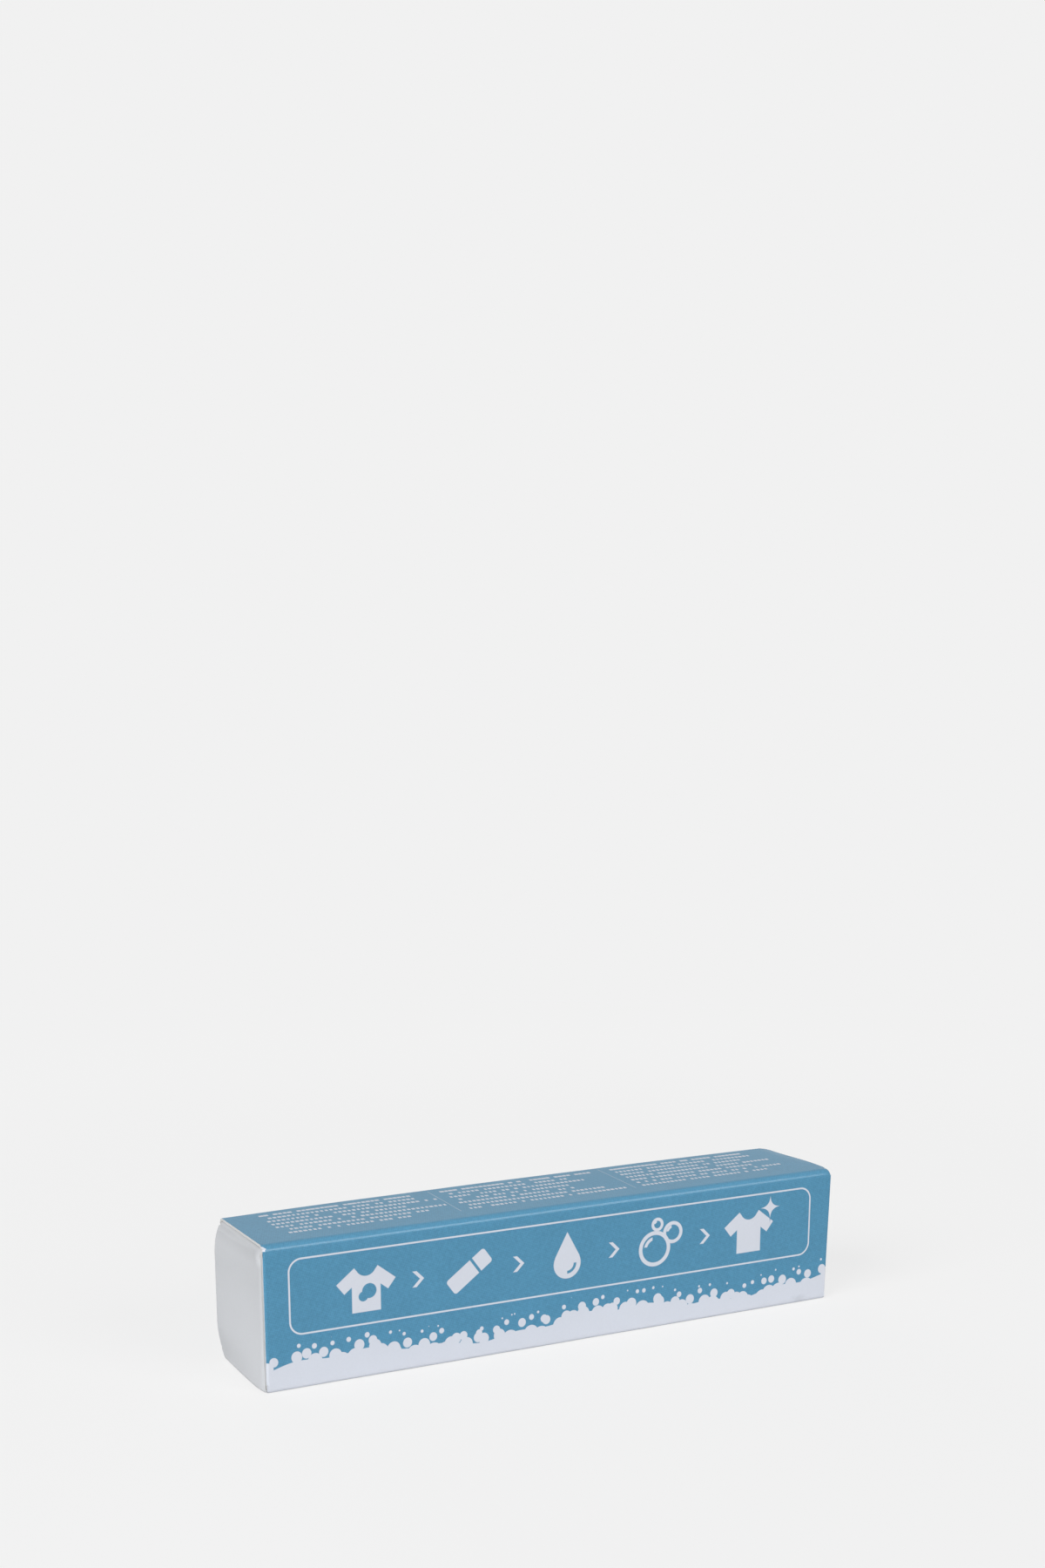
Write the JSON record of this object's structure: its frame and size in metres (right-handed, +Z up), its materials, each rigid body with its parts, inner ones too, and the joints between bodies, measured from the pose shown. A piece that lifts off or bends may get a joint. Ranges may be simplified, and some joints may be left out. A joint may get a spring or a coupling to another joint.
{
  "type": "stain remover stick in folding carton",
  "caption": "Long reverse-tuck paperboard carton that holds a bare bar of stain soap, with hinged end flaps, tongues and dust flaps.",
  "frame": {"origin": "middle of the underside of the closed carton", "axes": "+X along the carton, to the right in the picture; +Y from the printed front to the rear; +Z up"},
  "size_m": [0.1232, 0.0222, 0.027],
  "materials": {
    "printed_board": "satin",
    "plain_board": "matte",
    "adhesive": "satin",
    "soap": "satin"
  },
  "bodies": {
    "carton": {"front_panel": "printed_board", "top_panel": "printed_board", "rear_panel": "printed_board", "bottom_panel": "plain_board", "glue_flap": "plain_board", "glue_line": "adhesive"},
    "left_flap": {"left_tuck_flap": "plain_board"},
    "left_tongue": {"left_tuck_tongue": "plain_board"},
    "left_front_dust": {"left_front_dust_flap": "plain_board"},
    "left_rear_dust": {"left_rear_dust_flap": "plain_board"},
    "right_flap": {"right_tuck_flap": "plain_board"},
    "right_tongue": {"right_tuck_tongue": "plain_board"},
    "right_front_dust": {"right_front_dust_flap": "plain_board"},
    "right_rear_dust": {"right_rear_dust_flap": "plain_board"},
    "soap": {"soap_stick": "soap"}
  },
  "joints": [
    {"name": "left_flap_hinge", "type": "hinge", "parent": "carton", "child": "left_flap", "pos_m": [-0.06062, 0, 0.00022], "axis": [0, -1, 0], "range_deg": [0, 78]},
    {"name": "left_tongue_fold", "type": "hinge", "parent": "left_flap", "child": "left_tongue", "pos_m": [-0.05933, 0, 0.02552], "axis": [0, -1, 0], "range_deg": [-20, 0]},
    {"name": "left_front_dust_hinge", "type": "hinge", "parent": "carton", "child": "left_front_dust", "pos_m": [-0.06003, -0.01087, 0.0135], "axis": [0, 0, 1], "range_deg": [0, 70]},
    {"name": "left_rear_dust_hinge", "type": "hinge", "parent": "carton", "child": "left_rear_dust", "pos_m": [-0.06003, 0.01087, 0.0135], "axis": [0, 0, -1], "range_deg": [0, 70]},
    {"name": "right_flap_hinge", "type": "hinge", "parent": "carton", "child": "right_flap", "pos_m": [0.06062, 0, 0.02678], "axis": [0, -1, 0], "range_deg": [0, 150]},
    {"name": "right_tongue_fold", "type": "hinge", "parent": "right_flap", "child": "right_tongue", "pos_m": [0.05933, 0, 0.00147], "axis": [0, -1, 0], "range_deg": [-35, 0]},
    {"name": "right_front_dust_hinge", "type": "hinge", "parent": "carton", "child": "right_front_dust", "pos_m": [0.06003, -0.01087, 0.0135], "axis": [0, 0, -1], "range_deg": [0, 125]},
    {"name": "right_rear_dust_hinge", "type": "hinge", "parent": "carton", "child": "right_rear_dust", "pos_m": [0.06003, 0.01087, 0.0135], "axis": [0, 0, 1], "range_deg": [0, 125]},
    {"name": "soap_slide", "type": "slide", "parent": "carton", "child": "soap", "axis": [1, 0, 0], "range_m": [-0.0011, 0.0011]}
  ],
  "couplings": [
    {"joint": "left_tongue_fold", "follows": "left_flap_hinge", "ratio": -0.2},
    {"joint": "left_front_dust_hinge", "follows": "left_flap_hinge", "ratio": 0.8},
    {"joint": "left_rear_dust_hinge", "follows": "left_flap_hinge", "ratio": 0.8},
    {"joint": "right_tongue_fold", "follows": "right_flap_hinge", "ratio": -0.2},
    {"joint": "right_front_dust_hinge", "follows": "right_flap_hinge", "ratio": 0.8},
    {"joint": "right_rear_dust_hinge", "follows": "right_flap_hinge", "ratio": 0.8}
  ]
}
